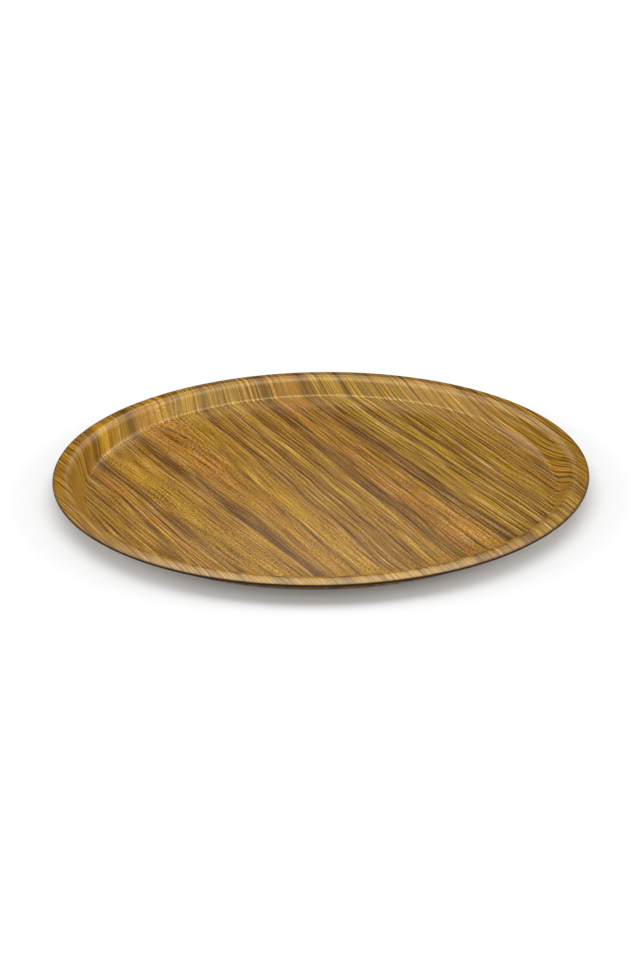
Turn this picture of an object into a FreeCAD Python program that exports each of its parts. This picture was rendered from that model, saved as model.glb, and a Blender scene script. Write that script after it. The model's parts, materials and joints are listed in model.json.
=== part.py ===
"""Round serving tray pressed from a stack of resin-bonded sheets.

The tray is one shallow dish with a flat floor, a flared wall, a rounded crest and a lip that
droops a little to a trimmed, rounded edge. It is laid up flat and pressed hot, so every sheet
takes the same shape and lies at a constant depth below the dish's upper face:

    top_overlay          clear wear sheet
    top_decor_sheet      printed wood-grain sheet
    core_ply_1 .. 6      brown kraft paper plies, which make the dark trimmed edge
    bottom_decor_sheet   printed wood-grain sheet that balances the top one
    bottom_overlay       clear wear sheet that stands on the table

Frame: +Z is up and is the axis of the dish, and the origin is the centre of the underside.
Units are millimetres and degrees.
"""

import FreeCAD
import Part
import math
import os

# Driving dimensions of the dish, on its upper face unless said otherwise
TRAY_DIAMETER = 380.0
RIM_DEPTH = 13.0  # crest of the rim above the floor
LIP_WIDTH = 8.6  # crest of the rim to the trimmed edge, in plan
WALL_ANGLE = 56.0  # slope of the wall above the floor
LIP_DROOP = 5.0  # slope of the lip below level
FLOOR_BEND_RADIUS = 4.0  # hollow bend where the floor turns up into the wall
CREST_BEND_RADIUS = 8.0  # rounded bend where the wall turns over into the lip
EDGE_ROUND_RADIUS = 1.2  # rounding of the trimmed edge, across the whole stack
ARCS_PER_BEND = 4  # each bend is drawn as this many equal arcs, end to end

# Driving dimensions of the stack
OVERLAY_THICKNESS = 0.10
DECOR_THICKNESS = 0.15
CORE_PLY_THICKNESS = 0.25
CORE_PLY_COUNT = 6

OUTPUT_FOLDER = "parts"


def sheet_stack():
    """Every sheet as (name, thickness), from the upper face down."""
    core = [(f"core_ply_{i + 1}", CORE_PLY_THICKNESS) for i in range(CORE_PLY_COUNT)]
    return [
        ("top_overlay", OVERLAY_THICKNESS),
        ("top_decor_sheet", DECOR_THICKNESS),
        *core,
        ("bottom_decor_sheet", DECOR_THICKNESS),
        ("bottom_overlay", OVERLAY_THICKNESS),
    ]


# Dimensions that follow from the driving ones
THICKNESS = sum(thickness for _, thickness in sheet_stack())
WALL = math.radians(WALL_ANGLE)
DROOP = math.radians(LIP_DROOP)
TRAY_RADIUS = TRAY_DIAMETER / 2
CREST_RADIUS = TRAY_RADIUS - LIP_WIDTH  # plan radius of the crest
CREST_CENTRE = (CREST_RADIUS, THICKNESS + RIM_DEPTH - CREST_BEND_RADIUS)

# The bends take up part of the rim's depth, and the straight wall takes the rest
BEND_RISE = (FLOOR_BEND_RADIUS + CREST_BEND_RADIUS) * (1 - math.cos(WALL))
BEND_RUN = (FLOOR_BEND_RADIUS + CREST_BEND_RADIUS) * math.sin(WALL)
WALL_RUN = (RIM_DEPTH - BEND_RISE) / math.tan(WALL)
FLOOR_RADIUS = CREST_RADIUS - BEND_RUN - WALL_RUN  # plan radius of the flat floor
FLOOR_BEND_CENTRE = (FLOOR_RADIUS, THICKNESS + FLOOR_BEND_RADIUS)

# The rounded edge is widest at half the sheet's thickness, where the tray reaches its full radius
MIDDLE_DEPTH = THICKNESS / 2
MIDDLE_BEND_END = CREST_RADIUS + (CREST_BEND_RADIUS - MIDDLE_DEPTH) * math.sin(DROOP)
LIP_RUN = (TRAY_RADIUS - MIDDLE_BEND_END) / math.cos(DROOP)


def polar(centre, radius, angle):
    """Point at a radius from centre, with the angle measured from straight up, outwards."""
    return FreeCAD.Vector(
        centre[0] + radius * math.sin(angle), 0, centre[1] + radius * math.cos(angle)
    )


def floor_bend_point(depth, share):
    """Point on the hollow bend of the surface at this depth; share runs from 0 at the floor to 1."""
    return polar(FLOOR_BEND_CENTRE, FLOOR_BEND_RADIUS + depth, math.pi - share * WALL)


def crest_bend_point(depth, share):
    """Point on the crest's bend of the surface at this depth; share runs from 0 at the wall to 1."""
    angle = -WALL + share * (WALL + DROOP)
    return polar(CREST_CENTRE, CREST_BEND_RADIUS - depth, angle)


def edge_point(depth):
    """Point on the rounded, trimmed edge at this depth."""
    from_middle = depth - MIDDLE_DEPTH
    set_back = EDGE_ROUND_RADIUS - math.sqrt(EDGE_ROUND_RADIUS**2 - from_middle**2)
    along = LIP_RUN - set_back
    outwards = FreeCAD.Vector(math.cos(DROOP), 0, -math.sin(DROOP))
    return crest_bend_point(depth, 1) + outwards * along


def bend_arcs(bend_point, depth):
    """The arcs, end to end, of one bend of the surface at this depth."""
    arcs = []
    for i in range(ARCS_PER_BEND):
        start, middle, end = (
            bend_point(depth, (i + step) / ARCS_PER_BEND) for step in (0, 0.5, 1)
        )
        arcs.append(Part.Arc(start, middle, end).toShape())
    return arcs


def surface_edges(depth):
    """Outline of the surface at this depth, from the axis out to the trimmed edge."""
    axis_point = FreeCAD.Vector(0, 0, THICKNESS - depth)
    return [
        Part.makeLine(axis_point, floor_bend_point(depth, 0)),
        *bend_arcs(floor_bend_point, depth),
        Part.makeLine(floor_bend_point(depth, 1), crest_bend_point(depth, 0)),
        *bend_arcs(crest_bend_point, depth),
        Part.makeLine(crest_bend_point(depth, 1), edge_point(depth)),
    ]


def sheet(upper_depth, lower_depth):
    """Solid of the sheet between two depths below the dish's upper face."""
    middle = (upper_depth + lower_depth) / 2
    trimmed = Part.Arc(edge_point(upper_depth), edge_point(middle), edge_point(lower_depth))
    on_axis = Part.makeLine(
        FreeCAD.Vector(0, 0, THICKNESS - lower_depth),
        FreeCAD.Vector(0, 0, THICKNESS - upper_depth),
    )
    edges = surface_edges(upper_depth) + [trimmed.toShape()] + surface_edges(lower_depth)
    outline = Part.Wire(Part.__sortEdges__(edges + [on_axis]))
    section = Part.Face(outline)
    return section.revolve(FreeCAD.Vector(0, 0, 0), FreeCAD.Vector(0, 0, 1), 360)


def build():
    """Writes one STEP file per sheet."""
    os.makedirs(OUTPUT_FOLDER, exist_ok=True)
    depth = 0.0
    for name, thickness in sheet_stack():
        solid = sheet(depth, depth + thickness)
        solid.exportStep(f"{OUTPUT_FOLDER}/{name}.step")
        depth += thickness


build()
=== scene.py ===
"""Looks of a round serving tray pressed from laminate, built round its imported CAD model.

Each visible piece is a smooth mesh of one sheet, or of a printed sheet with the clear overlay
that is pressed into it. The sections follow the CAD model's own driving dimensions, with heights
and radii read from the frame. Lengths are in metres, and pattern sizes are in millimetres.
"""

import json
import math

import bpy
from mathutils import Matrix, Vector


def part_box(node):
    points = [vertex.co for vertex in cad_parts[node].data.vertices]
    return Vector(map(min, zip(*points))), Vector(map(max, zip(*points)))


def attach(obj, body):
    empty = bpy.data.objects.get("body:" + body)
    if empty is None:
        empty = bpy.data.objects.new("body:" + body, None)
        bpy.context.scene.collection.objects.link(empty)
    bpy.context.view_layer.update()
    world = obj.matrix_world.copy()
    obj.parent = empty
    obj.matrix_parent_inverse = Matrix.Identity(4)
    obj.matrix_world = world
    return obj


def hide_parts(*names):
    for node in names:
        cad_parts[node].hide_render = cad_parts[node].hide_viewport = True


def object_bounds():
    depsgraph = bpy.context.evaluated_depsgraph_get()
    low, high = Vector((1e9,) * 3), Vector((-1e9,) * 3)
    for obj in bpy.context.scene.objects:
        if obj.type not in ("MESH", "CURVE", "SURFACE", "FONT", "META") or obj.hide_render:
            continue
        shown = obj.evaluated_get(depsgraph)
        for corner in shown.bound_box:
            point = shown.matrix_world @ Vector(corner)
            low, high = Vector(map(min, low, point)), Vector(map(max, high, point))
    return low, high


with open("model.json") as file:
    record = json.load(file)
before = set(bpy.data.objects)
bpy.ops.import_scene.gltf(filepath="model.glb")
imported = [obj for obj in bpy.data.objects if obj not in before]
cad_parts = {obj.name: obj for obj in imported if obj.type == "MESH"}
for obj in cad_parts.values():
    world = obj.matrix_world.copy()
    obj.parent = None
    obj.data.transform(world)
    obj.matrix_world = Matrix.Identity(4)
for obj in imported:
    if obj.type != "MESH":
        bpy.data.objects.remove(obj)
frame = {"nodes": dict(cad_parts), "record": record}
cad_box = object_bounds()

MM = 0.001

# Shape of the pressed section, on the tray's upper face, as in the CAD model
LIP_WIDTH = 8.6 * MM
WALL_ANGLE = math.radians(56.0)
LIP_DROOP = math.radians(5.0)
FLOOR_BEND_RADIUS = 4.0 * MM
CREST_BEND_RADIUS = 8.0 * MM
EDGE_ROUND_RADIUS = 1.2 * MM

# Fineness of the meshes
SEGMENTS_ROUND_RIM = 360
FLOOR_RINGS = 6
BEND_STEPS = 10
LIP_STEPS = 2
EDGE_STEPS = 3
SHARP_ANGLE = math.radians(35.0)  # from here on, an edge is shaded as a sharp one

FLAT_SHEET = "flat_sheet"  # mesh attribute: place in the sheet before it was pressed


# ---------------------------------------------------------------- section of the pressed tray


def mount_height(name):
    """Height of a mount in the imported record."""
    mount = next(m for m in frame["record"]["mounts"] if m["name"] == name)
    return mount["pos_m"][2]


def rounded_to_hundredth_mm(length):
    """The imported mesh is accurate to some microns, so lengths read from it are rounded."""
    return round(length, 5)


THICKNESS = mount_height("serving_floor")
CREST_HEIGHT = rounded_to_hundredth_mm(cad_box[1].z)
TRAY_RADIUS = rounded_to_hundredth_mm(cad_box[1].y)
CREST_RADIUS = TRAY_RADIUS - LIP_WIDTH
RIM_DEPTH = CREST_HEIGHT - THICKNESS

BENDS_TOGETHER = FLOOR_BEND_RADIUS + CREST_BEND_RADIUS
WALL_RISE = RIM_DEPTH - BENDS_TOGETHER * (1 - math.cos(WALL_ANGLE))
WALL_RUN = WALL_RISE / math.tan(WALL_ANGLE)
FLOOR_RADIUS = CREST_RADIUS - BENDS_TOGETHER * math.sin(WALL_ANGLE) - WALL_RUN
CREST_CENTRE = (CREST_RADIUS, CREST_HEIGHT - CREST_BEND_RADIUS)
FLOOR_BEND_CENTRE = (FLOOR_RADIUS, THICKNESS + FLOOR_BEND_RADIUS)

MIDDLE_DEPTH = THICKNESS / 2
MIDDLE_BEND_END = CREST_RADIUS + (CREST_BEND_RADIUS - MIDDLE_DEPTH) * math.sin(LIP_DROOP)
LIP_RUN = (TRAY_RADIUS - MIDDLE_BEND_END) / math.cos(LIP_DROOP)


def polar(centre, radius, angle):
    """Section point (plan radius, height) at an angle from straight up, outwards."""
    return (centre[0] + radius * math.sin(angle), centre[1] + radius * math.cos(angle))


def shares(steps):
    """Equal steps from 0 to 1, both ends included."""
    return [i / steps for i in range(steps + 1)]


def edge_point(depth):
    """Section point on the rounded, trimmed edge at this depth below the upper face."""
    from_middle = depth - MIDDLE_DEPTH
    set_back = EDGE_ROUND_RADIUS - math.sqrt(EDGE_ROUND_RADIUS**2 - from_middle**2)
    run = LIP_RUN - set_back
    start = polar(CREST_CENTRE, CREST_BEND_RADIUS - depth, LIP_DROOP)
    return (start[0] + run * math.cos(LIP_DROOP), start[1] - run * math.sin(LIP_DROOP))


def surface_section(depth):
    """Section of the surface at this depth, from the floor's middle out to the trimmed edge."""
    floor = [(share * FLOOR_RADIUS, THICKNESS - depth) for share in shares(FLOOR_RINGS)[1:-1]]
    floor_bend = [
        polar(FLOOR_BEND_CENTRE, FLOOR_BEND_RADIUS + depth, math.pi - share * WALL_ANGLE)
        for share in shares(BEND_STEPS)
    ]
    crest_bend = [
        polar(
            CREST_CENTRE,
            CREST_BEND_RADIUS - depth,
            -WALL_ANGLE + share * (WALL_ANGLE + LIP_DROOP),
        )
        for share in shares(BEND_STEPS)
    ]
    start = Vector(crest_bend[-1])
    end = Vector(edge_point(depth))
    lip = [tuple(start.lerp(end, share)) for share in shares(LIP_STEPS)[1:]]
    return floor + floor_bend + crest_bend + lip


def sheet_section(upper_depth, lower_depth):
    """Closed section of a sheet, from the middle of its upper face round to that of its lower."""
    edge = [
        edge_point(upper_depth + share * (lower_depth - upper_depth))
        for share in shares(EDGE_STEPS)[1:-1]
    ]
    return surface_section(upper_depth) + edge + surface_section(lower_depth)[::-1]


def reach_along(section):
    """Distance of each section point from the axis along the surface, upper and lower face alike."""
    half = len(section) // 2
    reach = []
    for face in (section[:half], section[half:][::-1]):
        distances = [face[0][0]]
        for before, after in zip(face, face[1:]):
            distances.append(distances[-1] + math.dist(before, after))
        reach.append(distances)
    return reach[0] + reach[1][::-1]


def mark_flat_sheet(mesh, reach, turns):
    """Stores where each vertex lay in the flat sheet, before the sheet was pressed to shape."""
    places = [
        part
        for distance in reach
        for turn in turns
        for part in (distance * math.cos(turn), distance * math.sin(turn), 0.0)
    ]
    on_axis = [0.0, 0.0, 0.0]
    flat = mesh.attributes.new(FLAT_SHEET, "FLOAT_VECTOR", "POINT")
    flat.data.foreach_set("vector", places + 2 * on_axis)


def revolved_mesh(name, section):
    """Closed mesh of a section turned round the Z axis, with one vertex on the axis at each end."""
    count = SEGMENTS_ROUND_RIM
    turns = [2 * math.pi * i / count for i in range(count)]
    vertices = [
        (radius * math.cos(turn), radius * math.sin(turn), height)
        for radius, height in section
        for turn in turns
    ]
    top_middle = len(vertices)
    bottom_middle = top_middle + 1
    vertices += [(0, 0, section[0][1]), (0, 0, section[-1][1])]

    faces = []
    last_ring = (len(section) - 1) * count
    for i in range(count):
        after = (i + 1) % count
        faces.append((top_middle, i, after))
        faces.append((bottom_middle, last_ring + after, last_ring + i))
        for ring in range(0, last_ring, count):
            faces.append((ring + i, ring + count + i, ring + count + after, ring + after))

    mesh = bpy.data.meshes.new(name)
    mesh.from_pydata(vertices, [], faces)
    mark_flat_sheet(mesh, reach_along(section), turns)
    mesh.shade_smooth()
    mesh.set_sharp_from_angle(angle=SHARP_ANGLE)
    return mesh


def lower_depth_of(node):
    """Depth of a sheet's lower face, from the level of its flat floor in the frame."""
    return THICKNESS - rounded_to_hundredth_mm(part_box(node)[0].z)


def add_object(name, data):
    """Makes an object and puts it in the scene."""
    added = bpy.data.objects.new(name, data)
    bpy.context.scene.collection.objects.link(added)
    return added


def sheet_piece(name, upper_depth, nodes, material):
    """Makes one piece that stands for these sheets, and returns the depth of its lower face."""
    lower_depth = max(lower_depth_of(node) for node in nodes)
    piece = add_object(name, revolved_mesh(name, sheet_section(upper_depth, lower_depth)))
    piece.data.materials.append(material)
    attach(piece, "root")
    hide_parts(*nodes)
    return lower_depth


# ---------------------------------------------------------------- shader helpers

# Sockets of the Mix node, which keeps plain values and colours apart
MIX_SHARE = 0
MIX_VALUES = (2, 3)
MIX_COLOURS = (6, 7)
MIXED_VALUE = 0
MIXED_COLOUR = 2

WHITE = (1.0, 1.0, 1.0, 1.0)


def srgb(red, green, blue):
    """Linear colour from 8-bit display values, by the sRGB standard's formula."""

    def linear(value):
        share = value / 255
        return share / 12.92 if share <= 0.04045 else ((share + 0.055) / 1.055) ** 2.4

    return (linear(red), linear(green), linear(blue), 1.0)


class Nodes:
    """A node tree, with short calls for the nodes that this script uses."""

    def __init__(self, tree):
        self.tree = tree

    def feed(self, node, inputs):
        """Feeds a node's inputs, which may be given as sockets or as plain values."""
        for key, value in inputs.items():
            if isinstance(value, bpy.types.NodeSocket):
                self.tree.links.new(value, node.inputs[key])
            else:
                node.inputs[key].default_value = value

    def node(self, kind, inputs, **settings):
        """Adds a node, sets it up and feeds its inputs."""
        node = self.tree.nodes.new(kind)
        for key, value in settings.items():
            setattr(node, key, value)
        self.feed(node, inputs)
        return node

    def math(self, operation, a, b=0.0, c=0.0):
        """Result of one of Blender's math operations."""
        return self.node("ShaderNodeMath", {0: a, 1: b, 2: c}, operation=operation).outputs[0]

    def mapped(self, value, low, high, to_low=0.0, to_high=1.0):
        """A value carried smoothly from one range to another, and held at its ends."""
        inputs = {0: value, 1: low, 2: high, 3: to_low, 4: to_high}
        node = self.node("ShaderNodeMapRange", inputs, interpolation_type="SMOOTHSTEP")
        return node.outputs[0]

    def between(self, share, a, b):
        """A value between a and b."""
        first, second = MIX_VALUES
        inputs = {MIX_SHARE: share, first: a, second: b}
        return self.node("ShaderNodeMix", inputs).outputs[MIXED_VALUE]

    def mix(self, share, a, b, blend="MIX"):
        """A colour between a and b."""
        first, second = MIX_COLOURS
        inputs = {MIX_SHARE: share, first: a, second: b}
        node = self.node("ShaderNodeMix", inputs, data_type="RGBA", blend_type=blend)
        return node.outputs[MIXED_COLOUR]

    def noise(self, vector, detail=2.0, roughness=0.5):
        """Smooth noise, mostly between 0.3 and 0.7, in steps of one unit of the vector."""
        inputs = {"Vector": vector, "Scale": 1.0, "Detail": detail, "Roughness": roughness}
        return self.node("ShaderNodeTexNoise", inputs).outputs["Fac"]

    def vector(self, x, y, z):
        """Vector of three values."""
        return self.node("ShaderNodeCombineXYZ", {0: x, 1: y, 2: z}).outputs[0]

    def in_steps(self, coordinate, size):
        """A coordinate counted in steps of this size."""
        return self.math("DIVIDE", coordinate, size)

    def radius(self, x, y):
        """Distance of a place from the tray's axis."""
        return self.math("SQRT", self.math("MULTIPLY_ADD", x, x, self.math("MULTIPLY", y, y)))

    def place(self, attribute=None):
        """Coordinates in millimetres as three sockets: of the shaded point, or from an attribute."""
        if attribute:
            node = self.node("ShaderNodeAttribute", {}, attribute_name=attribute)
            coordinates = node.outputs["Vector"]
        else:
            coordinates = self.node("ShaderNodeTexCoord", {}).outputs["Object"]
        inputs = {0: coordinates, "Scale": 1 / MM}
        scaled = self.node("ShaderNodeVectorMath", inputs, operation="SCALE").outputs[0]
        return tuple(self.node("ShaderNodeSeparateXYZ", {0: scaled}).outputs)


class Shader(Nodes):
    """The node tree of a new material."""

    def __init__(self, name):
        self.material = bpy.data.materials.new(name)
        self.material.use_nodes = True
        super().__init__(self.material.node_tree)
        self.surface = self.tree.nodes["Principled BSDF"]


# ---------------------------------------------------------------- the wood-grain print

# From here to the studio, lengths are in millimetres
TRAY_EDGE = TRAY_RADIUS / MM
CREST = CREST_RADIUS / MM
FLOOR_EDGE = FLOOR_RADIUS / MM

GRAIN_ANGLE = math.radians(114.0)  # direction of the grain in plan, counted from +X

# How far the grain's lines slant: place across the tray, and slant in millimetres per millimetre
GRAIN_SLANTS = (
    (-190, 0.08),
    (-120, 0.10),
    (-76, 0.12),
    (-41, 0.02),
    (0, 0.04),
    (29, 0.01),
    (68, 0.06),
    (100, 0.06),
    (125, 0.035),
    (190, 0.03),
)

# Bands of colour along the grain: place of the sharp left edge, width of the fade to its right,
# and strength at the far and near ends of the tray
DARK_BANDS = (
    (-123, 11, 0.7, 0.3),
    (-79, 13, 0.85, 1.0),
    (-21, 6, 0.7, 0.55),
    (-3, 8, 0.6, 0.4),
    (12, 6, 0.4, 0.3),
    (25, 14, 1.0, 0.65),
    (63, 16, 1.0, 1.0),
)
ORANGE_BANDS = (
    (-136, 12, 0.9, 0.5),
    (-65, 20, 0.4, 0.2),
    (36, 12, 0.9, 0.8),
    (50, 11, 0.6, 0.4),
    (138, 20, 0.4, 0.1),
)
YELLOW_BANDS = (
    (-113, 22, 0.3, 0.2),
    (-42, 15, 0.5, 0.45),
    (5, 6, 0.4, 0.2),
    (78, 46, 0.6, 0.5),
    (127, 8, 0.9, 1.0),
)
LINE_BANDS = (
    (-42.5, 1.8, 0.6, 0.8),
    (47, 1.8, 0.8, 0.5),
    (81, 2.0, 0.7, 0.7),
    (97, 3.0, 1.0, 1.0),
    (109, 3.0, 1.0, 1.0),
    (118, 2.0, 0.7, 0.6),
    (124, 2.0, 0.6, 0.6),
)
BAND_ENDS = (120.0, -120.0)  # places along the grain of those far and near strengths
SHARP_EDGE = 1.3  # width of a band's sharp left edge
BAND_BODY = 0.5  # share of a band's width before it fades
BODY_END = 0.85  # share of a band's strength left at the end of its body

# Growth rings: spacing, where the dark line has faded as a share of the spacing, seed, and
# strengths of the dark line and of the pale wood before it
RINGS = (
    (2.3, 0.6, 81, 0.6, 0.3),
    (4.2, 0.45, 71, 0.9, 0.35),
    (13, 0.3, 61, 0.5, 0.3),
)

# How strongly growth rings show: place across the tray, and strength. Stipple shows in between
RING_STRENGTHS = (
    (-190, 0.8),
    (-119, 0.8),
    (-114, 0.05),
    (-96, 0.05),
    (-88, 0.7),
    (-66, 0.5),
    (-58, 0.1),
    (-28, 0.1),
    (-22, 0.8),
    (34, 0.6),
    (60, 0.5),
    (78, 1.0),
    (190, 1.0),
)

# The course of one growth ring, as shares of the spacing: the dark line sets in at once, fades
# from where it is full, and the pale wood rises towards the next ring
DARK_RISE = (0.0, 0.1)
DARK_FULL = 0.08
PALE_RISE = (0.7, 0.95)

# Rings sway and break off in streaks: width of a streak in spacings, and its length
RING_SWAY_STREAK = (4, 260)
RING_SWAY = 3.0  # in spacings, over the whole range of the noise
RING_GAP_STREAK = (1.5, 110)
RING_GAPS = (0.3, 0.52)  # noise values of a missing ring and of a whole one

# Streaks along the grain: width, length, seed, and the noise's detail and roughness
WANDER_STREAKS = (45, 110, 2, 1.0)
RAGGED_STREAKS = (5, 90, 11)
PORE_STREAKS = (0.5, 4.0, 51, 2.0)
WANDER_WIDTH = 7.0  # the grain sways over this width
RAGGED_WIDTH = 4.0  # the edges of the bands sway over this width as well

# Variations along the grain: streaks, two noise values, and the strengths that they stand for
PATCHY_BANDS = ((3, 60, 3), (0.3, 0.6), (0.5, 1.0))
BROAD_ORANGE = ((14, 150, 7), (0.35, 0.65), (0.0, 0.3))
BROKEN_LINES = ((3, 80, 17), (0.3, 0.5), (0.35, 0.9))
YELLOW_AND_GREY_SPOTS = ((1.8, 9, 57, 3.0, 0.7), (0.4, 0.6), (0.0, 1.75))

# Fine detail: streaks, half the width of the noise range that is used, and how deep they swing
NOISE_MIDDLE = 0.5
SHADES = ((9, 240, 33, 3.0, 0.6), 0.2, 0.2)
FIBRES = ((0.8, 50, 39, 2.0), 0.17, 0.55)
STIPPLE = ((0.9, 1.6, 45, 3.0, 0.8), 0.1)
STIPPLE_DEPTHS = (0.85, 0.45)  # between the growth rings, and where they show most

# Dark detail is redder than the print, and bright detail is bluer
RED_POWER = 0.85
BLUE_POWER = 1.8

# Colours of the print
BASE_COLOUR = srgb(130, 92, 21)
DARK_COLOUR = srgb(73, 36, 7)
PALE_COLOUR = srgb(165, 137, 69)
ORANGE_COLOUR = srgb(139, 88, 28)
YELLOW_COLOUR = srgb(147, 114, 24)
LINE_COLOUR = srgb(64, 33, 5)


def by_place(shader, across, stops):
    """Colour looked up by place across the tray, from (place, colour) stops in order.

    The ramp runs from 0 at the tray's left edge to 1 at its right, with the axis at 0.5.
    """
    ramp_place = shader.math("MULTIPLY_ADD", across, 0.5 / TRAY_EDGE, 0.5)
    ramp = shader.node("ShaderNodeValToRGB", {0: ramp_place})
    ramp.color_ramp.interpolation = "EASE"
    elements = ramp.color_ramp.elements
    while len(elements) > 1:
        elements.remove(elements[-1])
    elements[0].position = 0.0
    elements[0].color = (*stops[0][1], 1.0)
    for place, colour in stops:
        elements.new(0.5 + 0.5 * place / TRAY_EDGE).color = (*colour, 1.0)
    return ramp.outputs[0]


def strength_by_place(shader, across, strengths):
    """Plain strength looked up by place across the tray."""
    stops = [(place, (strength,) * 3) for place, strength in strengths]
    return by_place(shader, across, stops)


def band_strength(shader, across, end, bands):
    """Strength of a set of bands; end runs from 0 at the far end of the tray to 1 at the near end."""
    clear = (0.0, 0.0, 0.0)
    stops = []
    for left, width, far, near in bands:
        body = left + BAND_BODY * width
        stops += [(left - SHARP_EDGE, clear), (left, (far, near, 0.0))]
        stops += [(body, (BODY_END * far, BODY_END * near, 0.0)), (left + width, clear)]
    far_and_near = shader.node("ShaderNodeSeparateColor", {0: by_place(shader, across, stops)})
    far, near, _ = far_and_near.outputs
    return shader.between(end, far, near)


class Grain:
    """Coordinates along and across the printed grain, which wander as real grain does."""

    def __init__(self, shader):
        self.shader = shader
        x, y, _ = shader.place(FLAT_SHEET)
        cosine = math.cos(GRAIN_ANGLE)
        sine = math.sin(GRAIN_ANGLE)
        straight = shader.math("MULTIPLY", x, sine)
        straight = shader.math("MULTIPLY_ADD", y, -cosine, straight)
        self.along = shader.math("MULTIPLY_ADD", y, sine, shader.math("MULTIPLY", x, cosine))
        slant = strength_by_place(shader, straight, GRAIN_SLANTS)
        self.across = shader.math("MULTIPLY_ADD", self.along, slant, straight)
        self.across = self.swayed(WANDER_STREAKS, WANDER_WIDTH)

    def streaks(self, width, length, seed, detail=2.0, roughness=0.5):
        """Noise whose streaks are about this wide and this long."""
        across = self.shader.in_steps(self.across, width)
        along = self.shader.in_steps(self.along, length)
        return self.shader.noise(self.shader.vector(across, along, seed), detail, roughness)

    def swayed(self, streaks, width):
        """Place across the grain, swayed by streaks of noise over this width."""
        sway = self.shader.math("MULTIPLY_ADD", self.streaks(*streaks), width, -width / 2)
        return self.shader.math("ADD", self.across, sway)

    def varied(self, streaks, noise_range, strengths):
        """Strength that varies in streaks along the grain."""
        return self.shader.mapped(self.streaks(*streaks), *noise_range, *strengths)

    def rings(self, spacing, fade, seed):
        """Growth rings: strengths of the dark line at each ring and of the pale wood before it."""
        shader = self.shader
        width, length = RING_SWAY_STREAK
        sway = shader.math("MULTIPLY", self.streaks(width * spacing, length, seed, 1.0), RING_SWAY)
        rings = shader.math("ADD", shader.in_steps(self.across, spacing), sway)
        course = shader.math("FRACT", rings)
        width, length = RING_GAP_STREAK
        whole = shader.mapped(self.streaks(width * spacing, length, seed + 1), *RING_GAPS)
        rise = shader.mapped(course, *DARK_RISE)
        fall = shader.mapped(course, fade, DARK_FULL)
        dark = shader.math("MULTIPLY", rise, fall)
        pale = shader.mapped(course, *PALE_RISE)
        return shader.math("MULTIPLY", dark, whole), shader.math("MULTIPLY", pale, whole)


def print_tones(shader, grain):
    """Colour of the print before its growth rings and fine detail."""
    end = shader.mapped(grain.along, *BAND_ENDS)
    ragged = grain.swayed(RAGGED_STREAKS, RAGGED_WIDTH)
    patchy = grain.varied(*PATCHY_BANDS)
    colour = shader.mix(grain.varied(*BROAD_ORANGE), BASE_COLOUR, ORANGE_COLOUR)
    for bands, band_colour in (
        (YELLOW_BANDS, YELLOW_COLOUR),
        (ORANGE_BANDS, ORANGE_COLOUR),
        (DARK_BANDS, DARK_COLOUR),
    ):
        strength = shader.math("MULTIPLY", band_strength(shader, ragged, end, bands), patchy)
        colour = shader.mix(strength, colour, band_colour)
    lines = band_strength(shader, grain.across, end, LINE_BANDS)
    lines = shader.math("MULTIPLY", lines, grain.varied(*BROKEN_LINES))
    return shader.mix(lines, colour, LINE_COLOUR)


def with_growth_rings(shader, grain, colour, strength):
    """Lays the pale and dark lines of all the growth rings over a colour."""
    for spacing, fade, seed, darkness, paleness in RINGS:
        dark, pale = grain.rings(spacing, fade, seed)
        for line, depth, line_colour in (
            (pale, paleness, PALE_COLOUR),
            (dark, darkness, LINE_COLOUR),
        ):
            share = shader.math("MULTIPLY", shader.math("MULTIPLY", line, depth), strength)
            colour = shader.mix(share, colour, line_colour)
    return colour


def fine_brightness(shader, grain, stipple_depth):
    """Brightness of the shades, fibres and stipple together, which swings about 1."""
    brightness = 1.0
    for streaks, spread, depth in (SHADES, FIBRES, (*STIPPLE, stipple_depth)):
        noise_range = (NOISE_MIDDLE - spread, NOISE_MIDDLE + spread)
        swing = shader.mapped(grain.streaks(*streaks), *noise_range, -1.0, 1.0)
        factor = shader.math("MULTIPLY_ADD", swing, depth, 1.0)
        brightness = shader.math("MULTIPLY", brightness, factor)
    return brightness


def print_colour(shader, grain, stipple):
    """Colour of the print with its growth rings, fibres and a share of its stipple."""
    rings = strength_by_place(shader, grain.across, RING_STRENGTHS)
    colour = with_growth_rings(shader, grain, print_tones(shader, grain), rings)
    stipple_depth = shader.math("MULTIPLY", stipple, shader.between(rings, *STIPPLE_DEPTHS))
    brightness = fine_brightness(shader, grain, stipple_depth)
    red = shader.math("POWER", brightness, RED_POWER)
    blue = shader.math("POWER", brightness, BLUE_POWER)
    blue = shader.math("MULTIPLY", blue, grain.varied(*YELLOW_AND_GREY_SPOTS))
    return shader.mix(1.0, colour, shader.vector(red, brightness, blue), "MULTIPLY")


# ---------------------------------------------------------------- materials

# The print on wall and lip: less stipple from the wall on, and mixed darker towards the trimmed edge
WALL_START = 4.0  # width over which the floor's looks change to the wall's
WALL_STIPPLE = 0.4  # share of the floor's stipple
EDGE_DARKENING_START = 2.2  # distance from the trimmed edge where the darkening sets in
EDGE_DARKENING_FULL = 0.4  # and where it is full
EDGE_DARKENING_STRENGTH = 0.6

# The clear overlay: satin in large patches, and more matt where it is drawn over the wall
PATCH_SIZE = 35
PATCH_DETAIL = 3.0
PATCH_NOISE = (0.3, 0.7)
PATCH_ROUGHNESS = (0.12, 0.17)
WALL_ROUGHNESS = 0.16  # added to that of the patches
CREST_HALF_WIDTH = 3.0  # the lip beyond it is as satin as the floor
OVERLAY_SPECULAR = 0.85
OVERLAY_TINT = (1.0, 0.82, 0.42, 1.0)
PORE_STRENGTH = 0.15
PORE_DEPTH = 0.05 * MM  # in metres

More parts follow.
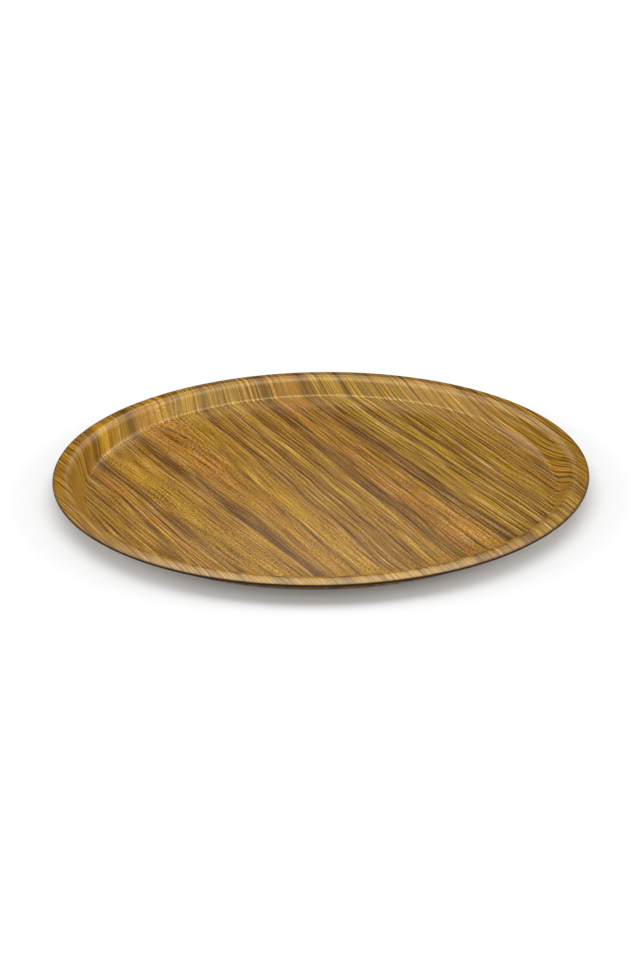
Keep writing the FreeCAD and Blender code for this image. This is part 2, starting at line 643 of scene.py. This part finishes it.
# The trimmed edge of the kraft core
KRAFT_COLOURS = (srgb(26, 17, 11), srgb(46, 30, 18))
KRAFT_FIBRES = 60.0  # noise steps to a radian round the tray
KRAFT_SEED = 5.0
KRAFT_DETAIL = 4.0
KRAFT_RAGGEDNESS = 0.6
KRAFT_NOISE = (0.3, 0.7)
KRAFT_ROUGHNESS = 0.8
KRAFT_SPECULAR = 0.2


def face_colour(shader, grain, radius):
    """Print with less stipple on the wall and lip, and darker towards the trimmed edge."""
    stipple = shader.mapped(radius, FLOOR_EDGE, FLOOR_EDGE + WALL_START, 1.0, WALL_STIPPLE)
    # the print is mixed darker over the last millimetres before the trimmed edge
    darkening_range = (TRAY_EDGE - EDGE_DARKENING_START, TRAY_EDGE - EDGE_DARKENING_FULL)
    edge_darkening = shader.mapped(radius, *darkening_range, 0.0, EDGE_DARKENING_STRENGTH)
    return shader.mix(edge_darkening, print_colour(shader, grain, stipple), LINE_COLOUR)


def face_roughness(shader, x, y, radius):
    """Satin in large patches, and more matt on the wall."""
    steps = (shader.in_steps(x, PATCH_SIZE), shader.in_steps(y, PATCH_SIZE))
    patches = shader.noise(shader.vector(*steps, 0.0), PATCH_DETAIL)
    satin = shader.mapped(patches, *PATCH_NOISE, *PATCH_ROUGHNESS)
    wall = shader.mapped(radius, FLOOR_EDGE, FLOOR_EDGE + WALL_START, 0.0, WALL_ROUGHNESS)
    before_lip = shader.mapped(radius, CREST + CREST_HALF_WIDTH, CREST - CREST_HALF_WIDTH)
    return shader.math("ADD", satin, shader.math("MULTIPLY", wall, before_lip))


def face_normal(shader, grain):
    """Fine pores along the grain."""
    pores = grain.streaks(*PORE_STREAKS)
    inputs = {"Strength": PORE_STRENGTH, "Distance": PORE_DEPTH, "Height": pores}
    return shader.node("ShaderNodeBump", inputs).outputs[0]


def printed_face_material(name):
    """Printed wood grain under a clear satin overlay."""
    shader = Shader(name)
    grain = Grain(shader)
    x, y, _ = shader.place()
    radius = shader.radius(x, y)
    looks = {
        "Base Color": face_colour(shader, grain, radius),
        "Roughness": face_roughness(shader, x, y, radius),
        "Normal": face_normal(shader, grain),
        "Specular IOR Level": OVERLAY_SPECULAR,
        "Specular Tint": OVERLAY_TINT,
    }
    shader.feed(shader.surface, looks)
    return shader.material


def kraft_material(name):
    """Dark trimmed edge of the resin-soaked kraft plies."""
    shader = Shader(name)
    x, y, z = shader.place()
    round_edge = shader.math("MULTIPLY", shader.math("ARCTAN2", y, x), KRAFT_FIBRES)
    place = shader.vector(round_edge, z, KRAFT_SEED)
    fibres = shader.mapped(shader.noise(place, KRAFT_DETAIL, KRAFT_RAGGEDNESS), *KRAFT_NOISE)
    looks = {
        "Base Color": shader.mix(fibres, *KRAFT_COLOURS),
        "Roughness": KRAFT_ROUGHNESS,
        "Specular IOR Level": KRAFT_SPECULAR,
    }
    shader.feed(shader.surface, looks)
    return shader.material


# ---------------------------------------------------------------- pieces


def build_tray():
    """Makes every sheet of the tray from the top down."""
    face = printed_face_material("wood_grain_laminate")
    kraft = kraft_material("kraft_core_edge")
    core = sorted(node for node in frame["nodes"] if node.startswith("core_ply"))
    nodes = ("top_overlay", "top_decor_sheet")
    depth = sheet_piece("top_face", 0.0, nodes, face)
    for node in core:
        name = node.replace("core", "kraft")
        depth = sheet_piece(name, depth, (node,), kraft)
    nodes = ("bottom_decor_sheet", "bottom_overlay")
    sheet_piece("bottom_face", depth, nodes, face)


# ---------------------------------------------------------------- studio

# The sky that the tray mirrors: sine of the elevation, and brightness. From the camera, the far
# part of the level floor mirrors the dark stretch and keeps a deep colour, the near part mirrors
# the rise above it, and the near lip mirrors the brightest
SKY = (
    (0.0, 0.08),
    (0.2, 0.07),
    (0.27, 0.0),
    (0.39, 0.0),
    (0.45, 0.85),
    (0.52, 1.0),
    (0.6, 2.7),
    (0.72, 0.5),
    (1.0, 0.5),
)

# The sheen on the level floor: the low part of the sky fades from the middle to the sides
SHEEN_HALF_WIDTH = 0.115  # as the sine of the angle to the side
SHEEN_AT_SIDES = 0.25  # share of its brightness in the middle
SHEEN_TOP = (0.47, 0.53)  # over this rise the sides grow as bright as the middle

# Softboxes: name, size, place, power and whether the tray mirrors it
SOFTBOXES = (
    ("overhead_softbox", (2.2, 1.2), (0.0, 0.1, 1.3), 25.0, True),
    ("back_softbox", (2.0, 1.5), (0.0, 1.4, 1.0), 9.0, False),
    ("front_softbox", (3.4, 1.2), (0.0, -1.6, 1.0), 27.0, False),
    ("left_softbox", (1.2, 0.8), (-1.5, 0.0, 0.5), 24.0, False),
    ("right_softbox", (1.2, 0.8), (1.5, 0.0, 0.5), 24.0, False),
)

# The shooting table glows a little near the tray, a painted light that lightens the tray's shadow on
# it, and glows plain white far from the tray
FLOOR_HALF_SIZE = 30.0
FLOOR_GAP = 0.05 * MM  # keeps the underside of the tray out of the table's surface
FLOOR_COLOUR = (0.5, 0.5, 0.5, 1.0)
# painted light: this glow near the tray lifts the tray's shadow on the table
FLOOR_GLOW = 0.11
FAR_FLOOR_GLOW = 1.0
GLOW_RISE = (0.25, 1.2)  # distances from the tray's axis

# The camera, at the photograph's viewing angle
CAMERA_ELEVATION = math.radians(23.27)
CAMERA_ROLL = math.radians(-0.725)
CAMERA_DISTANCE = 1.583  # from the middle of the rim
CAMERA_LENS = 83.4  # focal length in millimetres
CAMERA_SHIFT = (-0.0007, -0.0125)  # shares of the picture's height


def floor_material(name):
    """Matt grey that glows a little near the tray, painted light that lightens the tray's shadow, and
    plain white far from it.
    """
    shader = Shader(name)
    x, y, _ = shader.place()
    near, far = (metres / MM for metres in GLOW_RISE)
    looks = {
        "Base Color": FLOOR_COLOUR,
        "Roughness": 1.0,
        "Specular IOR Level": 0.0,
        "Emission Color": WHITE,
        "Emission Strength": shader.mapped(
            shader.radius(x, y), near, far, FLOOR_GLOW, FAR_FLOOR_GLOW
        ),
    }
    shader.feed(shader.surface, looks)
    return shader.material


def add_floor(name):
    """Plain level shooting table."""
    half = FLOOR_HALF_SIZE
    height = cad_box[0].z - FLOOR_GAP
    corners = [(-half, -half), (half, -half), (half, half), (-half, half)]
    mesh = bpy.data.meshes.new(name)
    mesh.from_pydata([(x, y, height) for x, y in corners], [], [(0, 1, 2, 3)])
    mesh.materials.append(floor_material(name))
    add_object(name, mesh)


def sky_brightness(nodes, x, rise):
    """Brightness of the mirrored sky in a direction; rise is the sine of the elevation."""
    curve = nodes.node("ShaderNodeFloatCurve", {"Value": rise})
    brightest = max(brightness for _, brightness in SKY)
    points = curve.mapping.curves[0].points
    for _ in range(len(SKY) - len(points)):
        points.new(0.5, 0.5)  # for now; the next loop gives every point its place
    for point, (place, brightness) in zip(points, SKY):
        point.location = (place, brightness / brightest)
        point.handle_type = "VECTOR"
    curve.mapping.extend = "HORIZONTAL"
    curve.mapping.update()
    beside = nodes.mapped(nodes.math("ABSOLUTE", x), 0.0, SHEEN_HALF_WIDTH, 1.0, SHEEN_AT_SIDES)
    above = nodes.mapped(rise, *SHEEN_TOP)
    brightness = nodes.math("MULTIPLY", curve.outputs[0], brightest)
    return nodes.math("MULTIPLY", brightness, nodes.math("MAXIMUM", beside, above))


def add_world():
    """Surroundings: a sky for the tray to mirror, and a plain white backdrop for the camera."""
    world = bpy.data.worlds.new("studio")
    world.use_nodes = True
    nodes = Nodes(world.node_tree)
    direction = nodes.node("ShaderNodeTexCoord", {}).outputs["Generated"]
    x, _, rise = nodes.node("ShaderNodeSeparateXYZ", {0: direction}).outputs
    seen_by_camera = nodes.node("ShaderNodeLightPath", {}).outputs["Is Camera Ray"]
    strength = nodes.between(seen_by_camera, sky_brightness(nodes, x, rise), 1.0)
    nodes.feed(nodes.tree.nodes["Background"], {"Color": WHITE, "Strength": strength})
    bpy.context.scene.world = world  # before the next line, which updates the scene's world
    world.cycles_visibility.diffuse = False


def add_softbox(name, size, place, power, mirrored):
    """Large soft light that points at the tray."""
    data = bpy.data.lights.new(name, "AREA")
    data.shape = "RECTANGLE"
    data.size, data.size_y = size
    data.energy = power
    light = add_object(name, data)
    light.location = place
    light.rotation_euler = (-Vector(place)).to_track_quat("-Z", "Y").to_euler()
    light.visible_camera = False
    light.visible_glossy = mirrored


def add_camera():
    """Camera that looks at the middle of the rim."""
    rim_middle = Vector((0, 0, edge_point(MIDDLE_DEPTH)[1]))
    backwards = Vector((0, -math.cos(CAMERA_ELEVATION), math.sin(CAMERA_ELEVATION)))
    data = bpy.data.cameras.new("camera")
    data.lens = CAMERA_LENS
    data.shift_x, data.shift_y = CAMERA_SHIFT
    camera = add_object("camera", data)
    turn = (-backwards).to_track_quat("-Z", "Y").to_matrix().to_4x4()
    place = Matrix.Translation(rim_middle + backwards * CAMERA_DISTANCE)
    camera.matrix_world = place @ turn @ Matrix.Rotation(CAMERA_ROLL, 4, "Z")
    bpy.context.scene.camera = camera


def add_studio():
    """Floor, surroundings, lights and camera."""
    add_floor("studio_floor")
    add_world()
    for softbox in SOFTBOXES:
        add_softbox(*softbox)
    add_camera()
    bpy.context.scene.view_settings.view_transform = "Standard"


build_tray()
add_studio()
